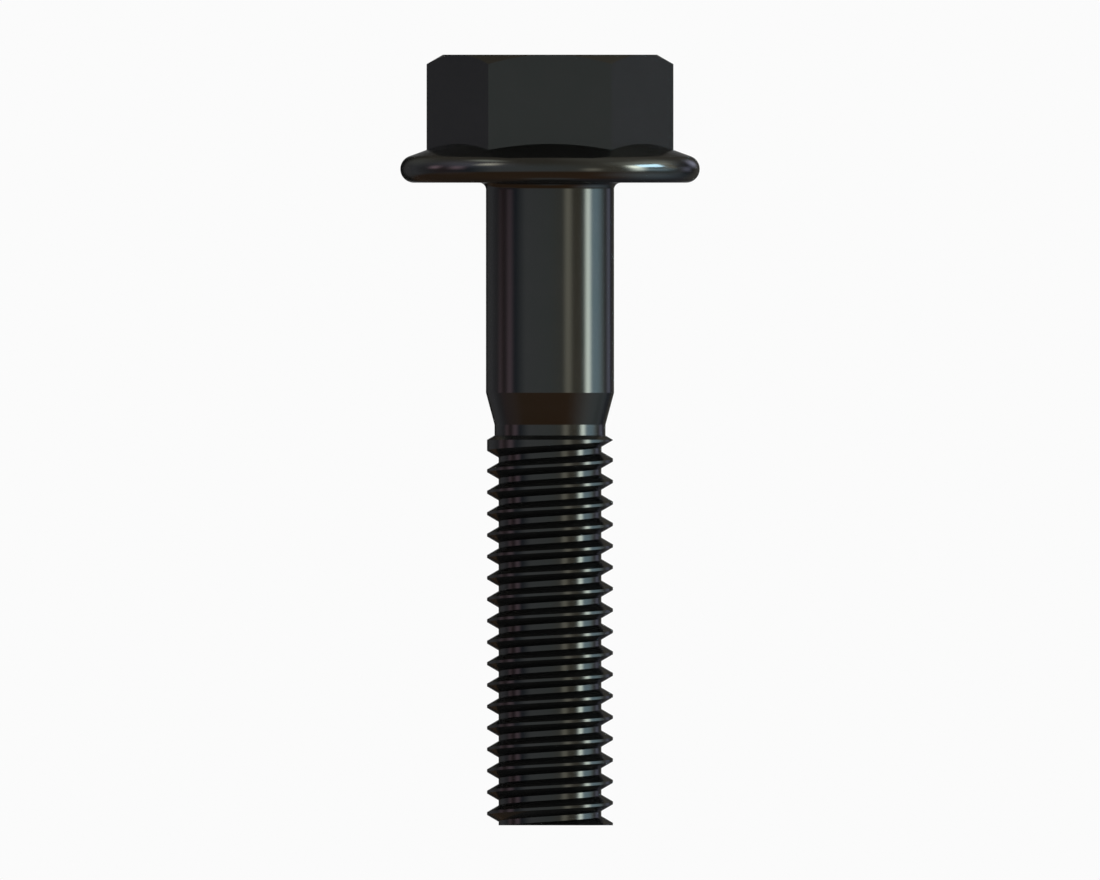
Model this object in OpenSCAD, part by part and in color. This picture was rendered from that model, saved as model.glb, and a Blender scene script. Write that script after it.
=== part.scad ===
// Hexagon flange bolt, forged and rolled in one piece.
// It stands on its head: Z points from the head to the tip, and Z = 0 is the flange's bearing face.

/* [Head] */
// Width of the hexagon across its flats
across_flats = 9.98; // [8:0.01:12]
// Height of the head from the bearing face to the top, flange included
head_h = 5.98; // [4.5:0.01:8]
// Slope of the chamfer round the top of the hexagon, from the flat top
top_chamfer_angle = 30; // [15:1:45]

/* [Flange] */
// Outer diameter of the flange
flange_d = 13.98; // [13:0.01:18]
// Radius of the flange's rounded rim, which is half the rim's thickness
rim_r = 0.64; // [0.4:0.01:0.9]
// Slope of the flange's upper side, from the flat bearing face
flange_slope = 20; // [10:1:30]

/* [Shank] */
// Length from the bearing face to the tip
bolt_l = 30; // [24:0.5:60]
// Diameter of the plain shank
shank_d = 5.98; // [5.5:0.01:6.5]
// Radius of the fillet between the bearing face and the shank
fillet_r = 0.32; // [0.1:0.01:0.6]
// Slope of the taper from the shank down to the neck, from the axis
taper_angle = 15; // [10:1:30]
// Diameter of the neck, which is the bar that the thread is rolled from
neck_d = 5.18; // [5:0.01:5.4]
// Length of the plain neck between the taper and the thread
neck_l = 0.5; // [0.2:0.05:2]

/* [Thread] */
// Diameter over the thread's crests
thread_d = 5.88; // [5.6:0.01:6]
// Length of the thread, from its first full crest to the tip
thread_l = 18; // [12:0.5:20]
// Distance from one crest to the next
pitch = 1; // [0.75:0.05:1]
// Slope of each thread flank, from a plane across the axis
flank_angle = 30; // [25:1:35]
// Angle over which the first groove runs out to nothing
runout_angle = 180; // [90:10:300]
// Flat sides that each turn of the groove is drawn with
turn_sides = 36; // [24:12:60]

/* [Hidden] */

// How far the flat circle on top of the head reaches past the flats
top_circle_margin = 0.01;
// Flat width of a crest and of a root, as shares of the pitch in a metric thread
crest_share = 1 / 8;
root_share = 1 / 4;
// Distance from the thread's start to the middle of the first full groove, as a share of the pitch
first_groove_share = 0.45;
// How far the groove's cutter stands out past the crests
cutter_proud = 0.05;

top_r = across_flats / 2 + top_circle_margin;
corner_r = across_flats / 2 / cos(30);
flange_r = flange_d / 2;
shank_r = shank_d / 2;
neck_r = neck_d / 2;
thread_r = thread_d / 2;

crest_w = crest_share * pitch;
root_w = root_share * pitch;
groove_depth = (pitch - crest_w - root_w) / 2 / tan(flank_angle);
root_r = thread_r - groove_depth;

thread_z = bolt_l - thread_l;
neck_end_z = thread_z - (thread_r - neck_r) * tan(flank_angle);
taper_end_z = neck_end_z - neck_l;
shank_end_z = taper_end_z - (shank_r - neck_r) / tan(taper_angle);

// The hexagon, chamfered round its top. Its foot is buried in the flange.
module hexagon() {
    skirt_r = corner_r + 1;
    intersection() {
        translate([0, 0, -head_h]) cylinder(r = corner_r, h = head_h - rim_r, $fn = 6);
        rotate_extrude($fn = 96) polygon([
            [0, -head_h],
            [top_r, -head_h],
            [skirt_r, -head_h + (skirt_r - top_r) * tan(top_chamfer_angle)],
            [skirt_r, 0],
            [0, 0]
        ]);
    }
}

// Half section of the flange: a flat bearing face, a full round rim and a conical upper side.
module flange_section() {
    rim_centre = [flange_r - rim_r, -rim_r];
    slope_start = rim_centre + rim_r * [sin(flange_slope), -cos(flange_slope)];
    translate(rim_centre) circle(r = rim_r, $fn = 96);
    polygon([
        [0, 0],
        [rim_centre[0], 0],
        slope_start,
        [0, slope_start[1] - slope_start[0] * tan(flange_slope)]
    ]);
}

// Half section of the shank, its taper, the neck and the bar that the thread is cut in.
module shank_section() {
    polygon([
        [0, -rim_r],
        [shank_r, -rim_r],
        [shank_r, shank_end_z],
        [neck_r, taper_end_z],
        [neck_r, neck_end_z],
        [thread_r, thread_z],
        [thread_r, bolt_l],
        [0, bolt_l]
    ]);
}

// Half section of the fillet under the head.
module fillet_section() {
    difference() {
        translate([shank_r - fillet_r, -fillet_r]) square(2 * fillet_r);
        translate([shank_r + fillet_r, fillet_r]) circle(r = fillet_r, $fn = 96);
    }
}

// Everything on the bolt that is round, turned about the axis.
module turned_body() {
    rotate_extrude($fn = 96) {
        flange_section();
        shank_section();
        fillet_section();
    }
}

// Share of the full depth that the groove has at an angle from where it starts to run in.
function groove_share(angle) = min(1, angle / runout_angle);

// The groove's cross section at an angle, as four points of radius and height.
function groove_section(angle) =
    let (
        middle_z = thread_z + (first_groove_share + (angle - runout_angle) / 360) * pitch,
        outer_r = thread_r + cutter_proud,
        start_r = thread_r + cutter_proud / 2,
        inner_r = start_r - (start_r - root_r) * groove_share(angle),
        outer_half = root_w / 2 + (outer_r - inner_r) * tan(flank_angle)
    )
    [
        [outer_r, middle_z - outer_half],
        [inner_r, middle_z - root_w / 2],
        [inner_r, middle_z + root_w / 2],
        [outer_r, middle_z + outer_half]
    ];

// The right-hand helical groove, as the solid that is cut out of the bar.
module thread_groove() {
    sides = turn_sides * ceil(thread_l / pitch + 1 + runout_angle / 360);
    points = [
        for (i = [0 : sides]) let (angle = i * 360 / turn_sides)
            for (p = groove_section(angle)) [
                p[0] * cos(angle + 180 - runout_angle),
                p[0] * sin(angle + 180 - runout_angle),
                p[1]
            ]
    ];
    walls = [
        for (i = [0 : sides - 1], k = [0 : 3]) let (
            here = 4 * i + k,
            beside = 4 * i + (k + 1) % 4
        ) each [[here, here + 4, beside + 4], [here, beside + 4, beside]]
    ];
    last = 4 * sides;
    ends = [[0, 1, 2, 3], [last + 3, last + 2, last + 1, last]];
    polyhedron(points, concat(ends, walls));
}

// The whole bolt, with its black finish.
module flange_bolt() {
    color("#2b2c2d") difference() {
        union() {
            hexagon();
            turned_body();
        }
        thread_groove();
    }
}

flange_bolt();
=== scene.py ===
from math import cos, pi, radians, sin, tan

import bmesh
import bpy
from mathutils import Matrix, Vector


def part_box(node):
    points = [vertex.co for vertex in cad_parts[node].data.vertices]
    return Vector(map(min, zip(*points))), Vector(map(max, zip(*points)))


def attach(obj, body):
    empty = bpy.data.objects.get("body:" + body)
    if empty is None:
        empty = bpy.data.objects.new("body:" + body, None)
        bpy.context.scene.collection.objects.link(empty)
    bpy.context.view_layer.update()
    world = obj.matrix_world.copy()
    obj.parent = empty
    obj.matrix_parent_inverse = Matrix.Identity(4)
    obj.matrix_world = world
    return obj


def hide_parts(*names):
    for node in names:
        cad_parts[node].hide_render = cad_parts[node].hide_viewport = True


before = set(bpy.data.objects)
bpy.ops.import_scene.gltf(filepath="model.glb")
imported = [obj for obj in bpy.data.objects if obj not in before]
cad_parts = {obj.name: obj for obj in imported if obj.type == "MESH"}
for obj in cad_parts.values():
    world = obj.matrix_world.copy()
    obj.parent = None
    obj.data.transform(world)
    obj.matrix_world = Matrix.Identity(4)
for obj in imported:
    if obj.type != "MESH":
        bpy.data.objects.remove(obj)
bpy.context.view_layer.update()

# A hexagon flange bolt, blackened steel, standing on its head with the thread up.
# All the sizes are in millimetres, and they become metres where a mesh or a lamp is made.
MM = 0.001

# The head. Its height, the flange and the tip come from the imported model.
lowest, highest = (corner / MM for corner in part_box("flange_bolt"))
HEAD_TOP_Z = lowest.z
TIP_Z = highest.z
FLANGE_R = highest.x
RIM_R = 0.64
FLANGE_SLOPE = radians(20)
ACROSS_FLATS = 9.98
TOP_CIRCLE_R = 5.0
TOP_CHAMFER = radians(30)

# The shank, from the bearing face at Z = 0 towards the tip
FILLET_R = 0.32
SHANK_R = 2.99
TAPER = radians(15)
NECK_R = 2.59
NECK_L = 0.5

# The thread: an M6 of 1 mm pitch, right-hand, cut off square at the tip
PITCH = 1.0
THREAD_R = 2.94
THREAD_L = 18.0
FLANK = radians(30)
CREST_W = PITCH / 8
ROOT_W = PITCH / 4
GROOVE_DEPTH = (PITCH - CREST_W - ROOT_W) / 2 / tan(FLANK)
RUN_OUT = 0.5
FIRST_GROOVE = 0.45

# Where the shank's stretches end
THREAD_Z = TIP_Z - THREAD_L
NECK_END_Z = THREAD_Z - (THREAD_R - NECK_R) * tan(FLANK)
TAPER_END_Z = NECK_END_Z - NECK_L
SHANK_END_Z = TAPER_END_Z - (SHANK_R - NECK_R) / tan(TAPER)

# How finely the surfaces are drawn, how sharp an edge shows as a crease, and how close two
# corners are when they are one
COLUMNS = 360
RIM_STEPS = 30
FILLET_STEPS = 12
CREASE = radians(12)
WELD = 0.0002


def arc(centre, radius, start, end, steps):
    """Points of radius and height on an arc, from one angle to another."""
    angles = (start + (end - start) * i / steps for i in range(steps + 1))
    return [(centre[0] + radius * cos(a), centre[1] + radius * sin(a)) for a in angles]


def hexagon_profile(turn):
    """The head's outline at a share of a turn: top circle, chamfer's foot, flat's foot."""
    from_flat = radians(turn * 360 % 60 - 30)
    flat_r = ACROSS_FLATS / 2 / cos(from_flat)
    top_r = min(TOP_CIRCLE_R, flat_r)
    chamfer_z = HEAD_TOP_Z + (flat_r - top_r) * tan(TOP_CHAMFER)
    slope_r = FLANGE_R - RIM_R + RIM_R * sin(FLANGE_SLOPE)
    slope_z = -RIM_R - RIM_R * cos(FLANGE_SLOPE)
    foot_z = slope_z - (slope_r - flat_r) * tan(FLANGE_SLOPE)
    return [(top_r, HEAD_TOP_Z), (flat_r, chamfer_z), (flat_r, foot_z)]


def round_profile():
    """The outline that is the same all round: rim, bearing face, fillet, shank, taper and neck."""
    rim = arc((FLANGE_R - RIM_R, -RIM_R), RIM_R, FLANGE_SLOPE - pi / 2, pi / 2, RIM_STEPS)
    fillet_centre = (SHANK_R + FILLET_R, FILLET_R)
    fillet = arc(fillet_centre, FILLET_R, -pi / 2, -pi, FILLET_STEPS)
    shank = [(SHANK_R, SHANK_END_Z), (NECK_R, TAPER_END_Z), (NECK_R, NECK_END_Z)]
    return rim + fillet + shank


def groove_section(turns):
    """The groove's four corners at a number of turns from its start, from the head's side."""
    share = min(1, turns / RUN_OUT)
    root_r = THREAD_R - GROOVE_DEPTH * share
    middle_z = THREAD_Z + (FIRST_GROOVE + turns - RUN_OUT) * PITCH
    upper_z, lower_z = middle_z - ROOT_W / 2, middle_z + ROOT_W / 2
    flank_z = (THREAD_R - root_r) * tan(FLANK)
    edge = (THREAD_R, upper_z - flank_z)
    if edge[1] < THREAD_Z:
        edge_z = max((upper_z + THREAD_Z - flank_z) / 2, THREAD_Z - flank_z)
        edge = (THREAD_R - (THREAD_Z - edge_z) / tan(FLANK), edge_z)
        upper_z = max(upper_z, edge_z)
    return [edge, (root_r, upper_z), (root_r, lower_z), (THREAD_R, lower_z + flank_z)]


def add_ring(mesh, profile_at):
    """Adds one ring of vertices for each point of a profile, which may change round the axis."""
    columns = []
    for i in range(COLUMNS):
        turn = i / COLUMNS
        columns.append([place(mesh, point, turn) for point in profile_at(turn)])
    return columns


def place(mesh, point, turn):
    """Adds the vertex at a radius and height, at a share of a turn round the axis from +X."""
    r, z = point
    angle = 2 * pi * turn
    return mesh.verts.new((r * cos(angle) * MM, r * sin(angle) * MM, z * MM))


def face(mesh, corners):
    """Adds a face through the corners that differ, or none if fewer than three do."""
    kept = []
    for corner in corners:
        if corner not in kept:
            kept.append(corner)
    if len(kept) > 2:
        mesh.faces.new(kept)


def build_turned_surface(mesh):
    """The skin from the middle of the head's top to the end of the neck. Returns its last ring."""
    columns = add_ring(mesh, lambda turn: hexagon_profile(turn) + round_profile())
    middle = mesh.verts.new((0, 0, HEAD_TOP_Z * MM))
    for i, here in enumerate(columns):
        beside = columns[(i + 1) % COLUMNS]
        face(mesh, [middle, beside[0], here[0]])
        for row in range(len(here) - 1):
            face(mesh, [here[row], beside[row], beside[row + 1], here[row + 1]])
    return [column[-1] for column in columns]


def build_thread(mesh, neck_ring):
    """The rolled thread, as one groove that winds from the neck to past the tip."""
    turns = int(THREAD_L / PITCH) + 2
    groove = []
    for i in range(turns * COLUMNS + 1):
        section = groove_section(i / COLUMNS)
        groove.append([place(mesh, point, i / COLUMNS) for point in section])
    start_ring = [place(mesh, (THREAD_R, THREAD_Z), i / COLUMNS) for i in range(COLUMNS)]
    for i in range(COLUMNS):
        here, beside = i, (i + 1) % COLUMNS
        face(mesh, [neck_ring[here], neck_ring[beside], start_ring[beside], start_ring[here]])
        seam = groove[0] if beside == 0 else []
        corners = [start_ring[here], start_ring[beside], *seam, groove[i + 1][0], groove[i][0]]
        face(mesh, corners)
    for i in range(turns * COLUMNS):
        here, beside = groove[i], groove[i + 1]
        for row in range(3):
            face(mesh, [here[row], beside[row], beside[row + 1], here[row + 1]])
        if i + COLUMNS < turns * COLUMNS:
            next_here, next_beside = groove[i + COLUMNS], groove[i + COLUMNS + 1]
            face(mesh, [here[3], beside[3], next_beside[0], next_here[0]])


def cut_tip(mesh):
    """Cuts the thread off square at the tip and closes the end."""
    everything = mesh.verts[:] + mesh.edges[:] + mesh.faces[:]
    tip = (0, 0, TIP_Z * MM)
    bmesh.ops.bisect_plane(
        mesh, geom=everything, plane_co=tip, plane_no=(0, 0, 1), clear_outer=True
    )
    middle = mesh.verts.new(tip)
    for edge in [e for e in mesh.edges if e.is_boundary]:
        mesh.faces.new((edge.verts[0], edge.verts[1], middle))


def build_bolt():
    """The whole bolt's skin as one closed mesh."""
    mesh = bmesh.new()
    neck_ring = build_turned_surface(mesh)
    build_thread(mesh, neck_ring)
    bmesh.ops.remove_doubles(mesh, verts=mesh.verts[:], dist=WELD * MM)
    cut_tip(mesh)
    bmesh.ops.remove_doubles(mesh, verts=mesh.verts[:], dist=WELD * MM)
    bmesh.ops.recalc_face_normals(mesh, faces=mesh.faces[:])
    for edge in mesh.edges:
        edge.smooth = edge.calc_face_angle(0) < CREASE
    for polygon in mesh.faces:
        polygon.smooth = True
    data = bpy.data.meshes.new("bolt_body")
    mesh.to_mesh(data)
    mesh.free()
    bolt = bpy.data.objects.new("bolt_body", data)
    bpy.context.scene.collection.objects.link(bolt)
    return bolt


def srgb(code):
    """A colour written as sRGB hex, turned to linear light."""
    parts = (int(code[i : i + 2], 16) / 255 for i in (1, 3, 5))
    return *(p / 12.92 if p <= 0.04045 else ((p + 0.055) / 1.055) ** 2.4 for p in parts), 1


def add_node(tree, kind, inputs=None, stops=(), **settings):
    """Adds a node, gives it its settings, links or sets its inputs, lays out a ramp's stops."""
    node = tree.nodes.new(kind)
    for name, value in settings.items():
        setattr(node, name, value)
    for key, value in (inputs or {}).items():
        if isinstance(value, bpy.types.NodeSocket):
            tree.links.new(value, node.inputs[key])
        else:
            node.inputs[key].default_value = value
    for position, colour in stops[2:]:
        node.color_ramp.elements.new(position)
    for stop, (position, colour) in zip(node.color_ramp.elements if stops else (), stops):
        stop.position = position
        stop.color = srgb(colour)
    return node


# The finish. The oxide is a thin film on the steel, so it is part metal and part dull black, and
# its shine rises less towards the edges than bare steel's. It lies in faint uneven patches over
# the fine grain that forging and rolling leave. The real grain is about a third of this size, and
# is drawn this coarse so that it shows.
OXIDE_DARK, OXIDE_PALE = "#2d2f2e", "#313131"
METAL_SHARE = 0.8
EDGE_SHINE = 0.5
SMOOTHEST, ROUGHEST = 0.13, 0.16
BLOOM_SIZE = 1.2
GRAIN_SIZE = 0.06
GRAIN_DEPTH = 0.01
GRAIN_STRENGTH = 0.03


def blackened_steel():
    """Cold-forged steel, blackened in a hot salt bath and oiled.
    It is near black with the sharp, dim streaks of a polished metal, and a faint uneven bloom."""
    material = bpy.data.materials.new("blackened_steel")
    material.use_nodes = True
    tree = material.node_tree
    tree.nodes.clear()
    place_in_part = add_node(tree, "ShaderNodeTexCoord").outputs["Object"]
    bloom = add_node(
        tree,
        "ShaderNodeTexNoise",
        {"Vector": place_in_part, "Scale": 1 / (BLOOM_SIZE * MM), "Detail": 3.0, "Roughness": 0.6},
    ).outputs["Fac"]
    colour = add_node(
        tree,
        "ShaderNodeMix",
        {"Factor": bloom, "A": srgb(OXIDE_DARK), "B": srgb(OXIDE_PALE)},
        data_type="RGBA",
    )
    grain = add_node(
        tree,
        "ShaderNodeTexNoise",
        {"Vector": place_in_part, "Scale": 1 / (GRAIN_SIZE * MM), "Detail": 2.0},
    ).outputs["Fac"]
    roughness = add_node(
        tree, "ShaderNodeMapRange", {"Value": bloom, "To Min": SMOOTHEST, "To Max": ROUGHEST}
    )
    bump = add_node(
        tree,
        "ShaderNodeBump",
        {"Height": grain, "Strength": GRAIN_STRENGTH, "Distance": GRAIN_DEPTH * MM},
    )
    shader = add_node(
        tree,
        "ShaderNodeBsdfPrincipled",
        {
            "Base Color": colour.outputs[2],
            "Metallic": METAL_SHARE,
            "Specular Tint": (EDGE_SHINE, EDGE_SHINE, EDGE_SHINE, 1.0),
            "Roughness": roughness.outputs["Result"],
            "Normal": bump.outputs["Normal"],
        },
    )
    add_node(tree, "ShaderNodeOutputMaterial", {"Surface": shader.outputs[0]})
    return material


PAPER_WHITE = "#eeeeed"
PAPER_ROUGHNESS = 0.9


def pale_paper():
    """Matt white background paper for the floor."""
    material = bpy.data.materials.new("pale_paper")
    material.use_nodes = True
    shader = material.node_tree.nodes["Principled BSDF"]
    shader.inputs["Base Color"].default_value = srgb(PAPER_WHITE)
    shader.inputs["Roughness"].default_value = PAPER_ROUGHNESS
    shader.inputs["Specular IOR Level"].default_value = 0.0
    return material


# The studio that the bolt reflects, as the photo's own head-up view has it: azimuth goes from
# the camera's side to the image's right, and elevation goes up the image. Both are in degrees.
# A streak at x on the shank comes from the azimuth 2 asin(x / r), and what the taper, the rim and
# the flats show comes from where each of them faces.
# Most of the panels below, and a part of the wall and the table, are a least-squares fit to the
# photo's tones, rounded, and weren't set by hand.

# The wall by azimuth: pale in front, rosy at the left, tan and grey at the right and dim behind
WALL = (
    (-180, "#909090"),
    (-172, "#242424"),
    (-160, "#1c1c1c"),
    (-148, "#8c8c8c"),
    (-130, "#b8b8c0"),
    (-110, "#908c94"),
    (-95, "#907074"),
    (-65, "#6c7c90"),
    (-45, "#f0f4f8"),
    (0, "#e8f0ee"),
    (50, "#f0e4c8"),
    (110, "#908068"),
    (122, "#c0c0c4"),
    (135, "#585868"),
    (155, "#807c74"),
    (172, "#444444"),
    (180, "#909090"),
)
# The wooden table by azimuth, brown in front and dim behind, and the elevations between which it
# takes over from the wall
TABLE = (
    (-180, "#605448"),
    (-130, "#946840"),
    (-70, "#b07c44"),
    (80, "#b87c40"),
    (130, "#807078"),
    (180, "#505860"),
)
TABLE_FROM, TABLE_TO = -16, -26
# The cream ceiling, and the elevations between which it takes over from the wall
CEILING = "#ccc0ac"
CEILING_FROM, CEILING_TO = 10, 60
# A pale patch straight down in that view, which is straight over the bolt as it stands here
OVERHEAD = "#c8c5c0"
OVERHEAD_FROM, OVERHEAD_TO = -76, -84

# The colours of the light that comes in
SKY = "#c4ecff"
DAYLIGHT = "#f8fff0"
LAMPLIGHT = "#fff8e0"
ROSE = "#ffd4e4"
EVENING = "#dce0ff"
# The windows, the lamps and what they light: azimuth, elevation, width, height, softness, colour
# and level of each. A softness of 1 fades from the middle out.
PANELS = {
    "right_window_sky": (88, 20, 25, 16, 0.2, SKY, 36),
    "right_window_corner": (70, 16, 10, 16, 1.0, DAYLIGHT, 30),
    "right_window_side": (73, 2, 11, 24, 1.0, DAYLIGHT, 16),
    "right_window_sill": (88, -2, 36, 16, 0.9, SKY, 4.5),
    "right_window_end": (108, 18, 16, 30, 0.5, LAMPLIGHT, 2),
    "right_curtain": (95, 36, 54, 20, 1.0, DAYLIGHT, 3.2),
    "right_ceiling_glow": (95, 60, 100, 60, 1.0, DAYLIGHT, 0.5),
    "right_table_glow": (98, -36, 66, 32, 1.0, SKY, 1.5),
    "front_lamp": (33, -5, 12, 20, 1.0, LAMPLIGHT, 2.5),
    "back_lamp": (150, 13, 14, 14, 1.0, EVENING, 2.5),
    "back_picture": (132, 0, 14, 14, 0.8, EVENING, 1.5),
    "left_window": (-55, 36, 16, 16, 1.0, LAMPLIGHT, 9),
    "left_curtain": (-85, 60, 42, 10, 1.0, DAYLIGHT, 4),
    "left_glow": (-75, 34, 60, 32, 1.0, EVENING, 1.2),
    "left_picture": (-78, 10, 12, 20, 1.0, ROSE, 2.4),
    "left_frame": (-102, 10, 10, 14, 1.0, ROSE, 3),
    "left_back_glow": (-140, 26, 30, 20, 1.0, DAYLIGHT, 0.3),
    "left_table_shine": (-85, -24, 40, 14, 0.6, EVENING, 0.15),
}


def soft_span(tree, angle, middle, width, softness):
    """1 inside a span of an angle, easing to 0 over its soft ends."""
    away = add_node(tree, "ShaderNodeMath", {0: angle, 1: middle}, operation="SUBTRACT")
    size = add_node(tree, "ShaderNodeMath", {0: away.outputs[0]}, operation="ABSOLUTE")
    limits = {
        "Value": size.outputs[0],
        "From Min": width * (1 + softness) / 2,
        "From Max": width * (1 - softness) / 2,
    }
    eased = add_node(tree, "ShaderNodeMapRange", limits, interpolation_type="SMOOTHSTEP")
    return eased.outputs["Result"]


def degrees_of(tree, operation, *sides):
    """An angle in degrees, from an arcsine or an arctangent."""
    angle = add_node(tree, "ShaderNodeMath", dict(enumerate(sides)), operation=operation)
    return add_node(tree, "ShaderNodeMath", {0: angle.outputs[0]}, operation="DEGREES").outputs[0]


def mix(tree, share, first, second):
    """A blend of two colours."""
    sides = {"Factor": share, "A": first, "B": second}
    return add_node(tree, "ShaderNodeMix", sides, data_type="RGBA").outputs[2]


def reflected_room(tree):
    """The room with windows on its two sides that the bolt reflects."""
    direction = add_node(tree, "ShaderNodeTexCoord").outputs["Generated"]
    turned_over = {0: direction, "Scale": -1.0}
    head_up = add_node(tree, "ShaderNodeVectorMath", turned_over, operation="SCALE").outputs[0]
    part = add_node(tree, "ShaderNodeSeparateXYZ", {0: head_up}).outputs
    azimuth = degrees_of(tree, "ARCTAN2", part["X"], part["Y"])
    elevation = degrees_of(tree, "ARCSINE", part["Z"])
    turn = {"Value": azimuth, "From Min": -180.0, "From Max": 180.0}
    across = add_node(tree, "ShaderNodeMapRange", turn).outputs["Result"]
    wall, table = (
        add_node(
            tree,
            "ShaderNodeValToRGB",
            {"Fac": across},
            stops=[(angle / 360 + 0.5, colour) for angle, colour in band],
        ).outputs["Color"]
        for band in (WALL, TABLE)
    )
    light = wall
    for layer, start, end in (
        (srgb(CEILING), CEILING_FROM, CEILING_TO),
        (table, TABLE_FROM, TABLE_TO),
        (srgb(OVERHEAD), OVERHEAD_FROM, OVERHEAD_TO),
    ):
        span = {"Value": elevation, "From Min": start, "From Max": end}
        share = add_node(tree, "ShaderNodeMapRange", span, interpolation_type="SMOOTHSTEP")
        light = mix(tree, share.outputs["Result"], light, layer)
    for turn_to, raise_to, width, height, softness, colour, level in PANELS.values():
        wide = soft_span(tree, azimuth, turn_to, width, softness)
        high = soft_span(tree, elevation, raise_to, height, softness)
        mask = add_node(tree, "ShaderNodeMath", {0: wide, 1: high}, operation="MULTIPLY")
        full = tuple(share * level for share in srgb(colour)[:3])
        shine = {0: full, "Scale": mask.outputs[0]}
        panel = add_node(tree, "ShaderNodeVectorMath", shine, operation="SCALE").outputs[0]
        sides = {0: light, 1: panel}
        light = add_node(tree, "ShaderNodeVectorMath", sides, operation="ADD").outputs[0]
    return light


# What the camera sees behind the bolt, and the even light on the floor and the dull part of the
# finish
BACKDROP = "#fbfbfb"
EVEN_LIGHT = "#c8c8c8"


def light_studio():
    """The world: pale to the camera, a plain soft light on the floor, and a room in the bolt's
    reflections. It is lit by the rays that meet it, so each kind of ray can have its own."""
    world = bpy.data.worlds.new("studio")
    world.use_nodes = True
    world.cycles.sampling_method = "NONE"
    bpy.context.scene.world = world
    tree = world.node_tree
    tree.nodes.clear()
    ray = add_node(tree, "ShaderNodeLightPath").outputs
    light = mix(tree, ray["Is Glossy Ray"], srgb(EVEN_LIGHT), reflected_room(tree))
    light = mix(tree, ray["Is Camera Ray"], light, srgb(BACKDROP))
    background = add_node(tree, "ShaderNodeBackground", {"Color": light})
    add_node(tree, "ShaderNodeOutputWorld", {"Surface": background.outputs[0]})


# The floor's width, and the overhead lamp's width, height and power
FLOOR_W = 1200
LAMP_W = 500
LAMP_Z = 600
LAMP_WATTS = 2.0


def lay_floor():
    """Plain pale paper that the bolt's head stands on. The bolt reflects the studio and not it."""
    half = FLOOR_W / 2 * MM
    corners = [(-half, -half), (half, -half), (half, half), (-half, half)]
    data = bpy.data.meshes.new("floor")
    data.from_pydata([(x, y, HEAD_TOP_Z * MM) for x, y in corners], [], [(0, 1, 2, 3)])
    floor = bpy.data.objects.new("floor", data)
    bpy.context.scene.collection.objects.link(floor)
    data.materials.append(pale_paper())
    floor.visible_glossy = False
    floor.visible_shadow = False


def hang_lamp():
    """A large soft lamp overhead, which gives the floor its level light and a soft shadow."""
    lamp = bpy.data.lights.new("overhead_softbox", "AREA")
    lamp.size = LAMP_W * MM
    lamp.energy = LAMP_WATTS
    softbox = bpy.data.objects.new("overhead_softbox", lamp)
    softbox.location = (0, 0, LAMP_Z * MM)
    softbox.visible_glossy = False
    bpy.context.scene.collection.objects.link(softbox)


# The photo looks square on at the bolt with the head up, so the camera is level and upside down.
PHOTO_W = 1100
PHOTO_PIXELS_PER_MM = 21.419
AIM_Z = 12.01
CAMERA_AWAY = 200
NEAREST, FARTHEST = 10, 1000


def place_camera():
    """A camera without perspective, straight in front of one flat of the hexagon."""
    camera = bpy.data.objects.new("camera", bpy.data.cameras.new("camera"))
    camera.data.type = "ORTHO"
    camera.data.ortho_scale = PHOTO_W / PHOTO_PIXELS_PER_MM * MM
    camera.data.clip_start = NEAREST * MM
    camera.data.clip_end = FARTHEST * MM
    camera.location = (0, -CAMERA_AWAY * MM, AIM_Z * MM)
    camera.rotation_euler = (radians(-90), 0, radians(180))
    bpy.context.scene.collection.objects.link(camera)
    bpy.context.scene.camera = camera


bolt = build_bolt()
bolt.data.materials.append(blackened_steel())
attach(bolt, "root")
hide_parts("flange_bolt")

light_studio()
lay_floor()
hang_lamp()
place_camera()
bpy.context.scene.view_settings.view_transform = "Standard"
